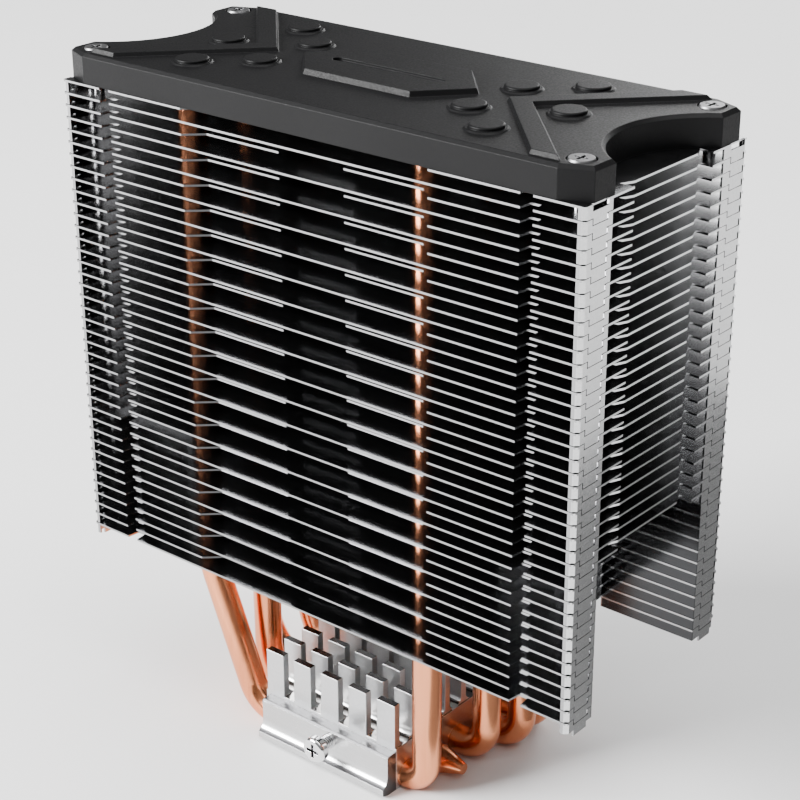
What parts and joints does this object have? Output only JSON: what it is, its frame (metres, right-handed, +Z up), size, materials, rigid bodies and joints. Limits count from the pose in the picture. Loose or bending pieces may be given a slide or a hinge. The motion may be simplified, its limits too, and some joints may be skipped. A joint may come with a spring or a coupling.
{
  "type": "cpu tower cooler",
  "caption": "Tower heatsink: a stack of folded aluminium fins on bent copper heat pipes, over a pin-topped base with clamp bars, under a moulded top cover.",
  "frame": {"origin": "centre of the base's contact face, which is the bottom centre of the whole cooler", "axes": "+Z up from the processor through the fin stack, +X along the fins' long side, -Y towards the fan side"},
  "size_m": [0.126, 0.057, 0.1437],
  "materials": {
    "fin_aluminium": "bright rolled sheet",
    "pipe_copper": "satin copper",
    "base_aluminium": "satin extrusion",
    "bar_aluminium": "satin extrusion",
    "cover_plastic": "fine matte texture",
    "screw_steel": "bright plated"
  },
  "bodies": {
    "heatsink": {"fin_01": "fin_aluminium", "fin_02": "fin_aluminium", "fin_03": "fin_aluminium", "fin_04": "fin_aluminium", "fin_05": "fin_aluminium", "fin_06": "fin_aluminium", "fin_07": "fin_aluminium", "fin_08": "fin_aluminium", "fin_09": "fin_aluminium", "fin_10": "fin_aluminium", "fin_11": "fin_aluminium", "fin_12": "fin_aluminium", "fin_13": "fin_aluminium", "fin_14": "fin_aluminium", "fin_15": "fin_aluminium", "fin_16": "fin_aluminium", "fin_17": "fin_aluminium", "fin_18": "fin_aluminium", "fin_19": "fin_aluminium", "fin_20": "fin_aluminium", "fin_21": "fin_aluminium", "fin_22": "fin_aluminium", "fin_23": "fin_aluminium", "fin_24": "fin_aluminium", "fin_25": "fin_aluminium", "fin_26": "fin_aluminium", "fin_27": "fin_aluminium", "fin_28": "fin_aluminium", "fin_29": "fin_aluminium", "fin_30": "fin_aluminium", "fin_31": "fin_aluminium", "fin_32": "fin_aluminium", "fin_33": "fin_aluminium", "fin_34": "fin_aluminium", "fin_35": "fin_aluminium", "fin_36": "fin_aluminium", "fin_37": "fin_aluminium", "fin_38": "fin_aluminium", "fin_39": "fin_aluminium", "fin_40": "fin_aluminium", "heat_pipe_1": "pipe_copper", "heat_pipe_2": "pipe_copper", "heat_pipe_3": "pipe_copper", "heat_pipe_4": "pipe_copper", "heat_pipe_5": "pipe_copper", "base_block": "base_aluminium", "clamp_bar_front": "bar_aluminium", "clamp_bar_rear": "bar_aluminium", "top_cover": "cover_plastic", "cover_screws": "screw_steel"},
    "front_screw": {"bracket_screw_front": "screw_steel"},
    "rear_screw": {"bracket_screw_rear": "screw_steel"}
  },
  "joints": [
    {"name": "front_screw_turn", "type": "hinge", "parent": "heatsink", "child": "front_screw", "pos_m": [0.0026, -0.0227, 0.0072], "axis": [0, -1, 0], "continuous": true},
    {"name": "rear_screw_turn", "type": "hinge", "parent": "heatsink", "child": "rear_screw", "pos_m": [-0.0026, 0.0227, 0.0072], "axis": [0, 1, 0], "continuous": true}
  ]
}
